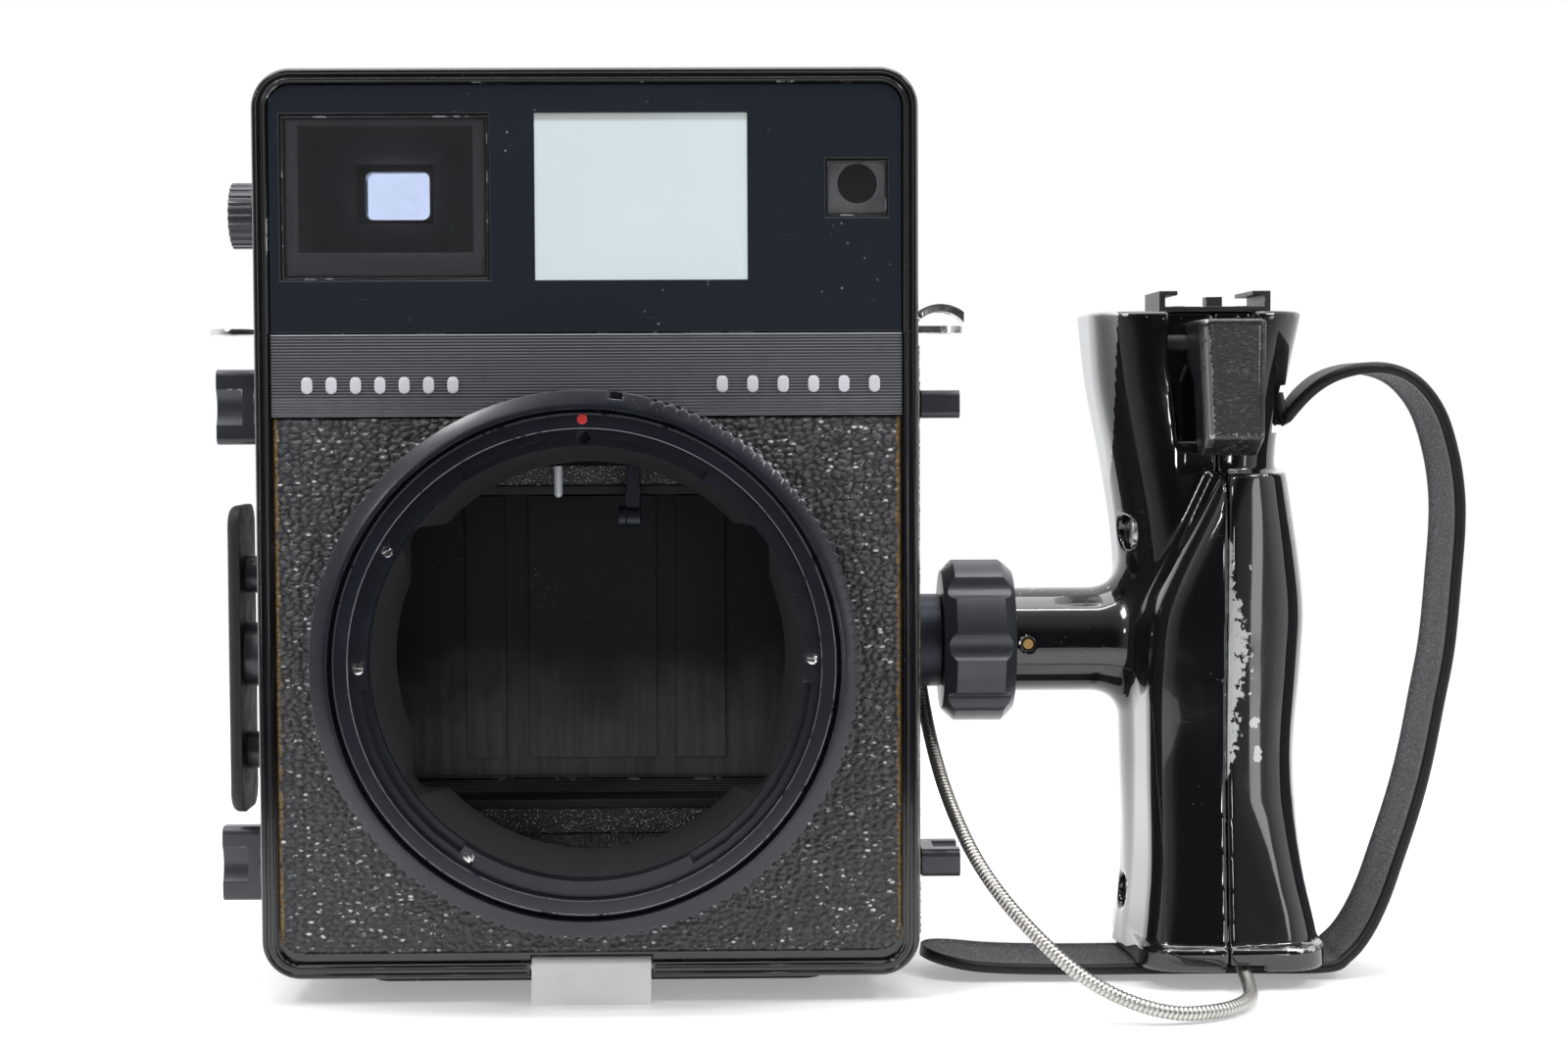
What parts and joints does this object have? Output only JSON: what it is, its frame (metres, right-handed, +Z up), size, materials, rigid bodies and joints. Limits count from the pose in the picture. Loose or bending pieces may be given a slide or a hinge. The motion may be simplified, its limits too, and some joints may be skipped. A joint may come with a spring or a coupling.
{
  "type": "press camera",
  "caption": "Box-shaped press camera body with breech-lock lens mount, bellows back, combined finder, side pistol grip with trigger and hand strap, and a release cable.",
  "frame": {"origin": "mouth of the tripod bush, in the underside of the base plate", "axes": "+Z up, -Y the way the lens mount faces, +X towards the grip"},
  "size_m": [0.2313, 0.0819, 0.1665],
  "materials": {
    "black_enamel": "gloss black enamel on an aluminium casting",
    "grip_enamel": "high gloss black enamel, worn to bare metal along edges",
    "black_anodised": "satin blue-black anodised",
    "matt_black": "matt black lacquer",
    "flocking": "black flocked foam",
    "bellows_cloth": "black bellows cloth",
    "leatherette": "black pebbled leatherette",
    "window_black": "polished blue-black plate",
    "trim_grey": "dark grey satin ribs",
    "bright_metal": "polished chrome plate",
    "steel": "turned steel",
    "bare_aluminium": "brushed natural aluminium",
    "brass": "aged brass",
    "clear_glass": "coated optical glass",
    "frosted_glass": "frosted pale grey-green glass",
    "mirror": "front-silvered mirror",
    "moulded_black": "satin moulded black plastic",
    "shoe_black": "blackened steel",
    "strap_black": "moulded black strap, smooth outside and grained inside"
  },
  "bodies": {
    "camera": {"accessory_shoe": "shoe_black", "arm_set_screw": "brass", "base_plate": "black_enamel", "bayonet_flange": "black_anodised", "beam_splitter": "clear_glass", "bellows": "bellows_cloth", "body_shell": "black_enamel", "cable_gland": "steel", "cable_tip": "steel", "eyepiece_lens": "clear_glass", "finder_housing": "black_enamel", "finder_window_plate": "window_black", "flange_screws": "bright_metal", "foot_pin": "steel", "front_leatherette": "leatherette", "gate_baffle": "matt_black", "grip_left_half": "grip_enamel", "grip_right_half": "grip_enamel", "grip_screws": "steel", "grip_socket": "black_anodised", "hand_strap": "strap_black", "illumination_window": "frosted_glass", "interlock_pin": "bright_metal", "left_leatherette": "leatherette", "left_strap_lug": "bright_metal", "light_trap_pads": "flocking", "mirror_pivot_post": "matt_black", "mount_base_ring": "black_anodised", "rangefinder_bracket": "matt_black", "rangefinder_window": "clear_glass", "release_cable": "steel", "ribbed_trim_plate": "trim_grey", "right_leatherette": "leatherette", "right_strap_lug": "bright_metal", "side_accessory_plate": "black_enamel", "side_plate_posts": "steel", "throat_ring": "matt_black", "trigger_pin": "steel", "trigger_spring": "steel", "trim_studs": "bright_metal", "tripod_bush": "steel", "viewfinder_frame": "bright_metal", "viewfinder_tunnel": "matt_black", "viewfinder_window": "clear_glass"},
    "breech_ring": {"breech_lock_ring": "black_anodised"},
    "rear_standard": {"rear_frame": "black_enamel", "extension_rods": "steel", "rear_cover": "moulded_black"},
    "latch_left": {"left_cover_latch": "moulded_black"},
    "latch_right": {"right_cover_latch": "moulded_black"},
    "clamp_left_lower": {"left_lower_clamp_knob": "black_anodised"},
    "clamp_left_upper": {"left_upper_clamp_knob": "black_anodised"},
    "clamp_right_lower": {"right_lower_clamp_knob": "black_anodised"},
    "clamp_right_upper": {"right_upper_clamp_knob": "black_anodised"},
    "frame_dial": {"frame_selector_dial": "black_anodised"},
    "foot": {"folding_foot": "bare_aluminium"},
    "grip_ring": {"grip_lock_ring": "black_anodised"},
    "trigger_body": {"trigger": "moulded_black"},
    "range_arm": {"rangefinder_arm": "matt_black"},
    "range_mirror": {"rangefinder_mirror": "mirror"}
  },
  "joints": [
    {"name": "breech_ring_turn", "type": "hinge", "parent": "camera", "child": "breech_ring", "pos_m": [0, -0.033, 0.0619], "axis": [0, 1, 0], "range_deg": [0, 32]},
    {"name": "back_extend", "type": "slide", "parent": "camera", "child": "rear_standard", "axis": [0, 1, 0], "range_m": [0, 0.021], "deforming": ["bellows"]},
    {"name": "latch_left_slide", "type": "slide", "parent": "rear_standard", "child": "latch_left", "axis": [-1, 0, 0], "range_m": [0, 0.003]},
    {"name": "latch_right_slide", "type": "slide", "parent": "rear_standard", "child": "latch_right", "axis": [1, 0, 0], "range_m": [0, 0.003]},
    {"name": "clamp_left_lower_turn", "type": "hinge", "parent": "camera", "child": "clamp_left_lower", "pos_m": [-0.065, 0.002, 0.0212], "axis": [-1, 0, 0], "range_deg": [0, 180]},
    {"name": "clamp_left_upper_turn", "type": "hinge", "parent": "camera", "child": "clamp_left_upper", "pos_m": [-0.065, 0.002, 0.1068], "axis": [-1, 0, 0], "range_deg": [0, 180]},
    {"name": "clamp_right_lower_turn", "type": "hinge", "parent": "camera", "child": "clamp_right_lower", "pos_m": [0.065, 0.002, 0.0212], "axis": [1, 0, 0], "range_deg": [0, 180]},
    {"name": "clamp_right_upper_turn", "type": "hinge", "parent": "camera", "child": "clamp_right_upper", "pos_m": [0.065, 0.002, 0.1068], "axis": [1, 0, 0], "range_deg": [0, 180]},
    {"name": "frame_dial_turn", "type": "hinge", "parent": "camera", "child": "frame_dial", "pos_m": [-0.063, 0, 0.1422], "axis": [1, 0, 0], "range_deg": [-45, 45]},
    {"name": "foot_fold", "type": "hinge", "parent": "camera", "child": "foot", "pos_m": [0, -0.0234, 0.0066], "axis": [1, 0, 0], "range_deg": [0, 100]},
    {"name": "grip_ring_turn", "type": "hinge", "parent": "camera", "child": "grip_ring", "pos_m": [0.0717, 0.008, 0.0619], "axis": [1, 0, 0], "range_deg": [0, 90]},
    {"name": "trigger_pull", "type": "hinge", "parent": "camera", "child": "trigger_body", "pos_m": [0.1157, -0.003, 0.118], "axis": [1, 0, 0], "range_deg": [0, 8], "stiffness_Nm_per_rad": 0.15, "springref_deg": -6.88, "deforming": ["trigger_spring"]},
    {"name": "range_arm_swing", "type": "hinge", "parent": "camera", "child": "range_arm", "pos_m": [0.00735, -0.006, 0.112], "axis": [1, 0, 0], "range_deg": [0, 4], "stiffness_Nm_per_rad": 0.01, "springref_deg": -5.73},
    {"name": "range_mirror_turn", "type": "hinge", "parent": "camera", "child": "range_mirror", "pos_m": [0.0482, -0.0117, 0.1456], "axis": [0, 0, 1], "range_deg": [0, 2.4]}
  ],
  "couplings": [
    {"joint": "range_mirror_turn", "follows": "range_arm_swing", "ratio": 0.5}
  ]
}
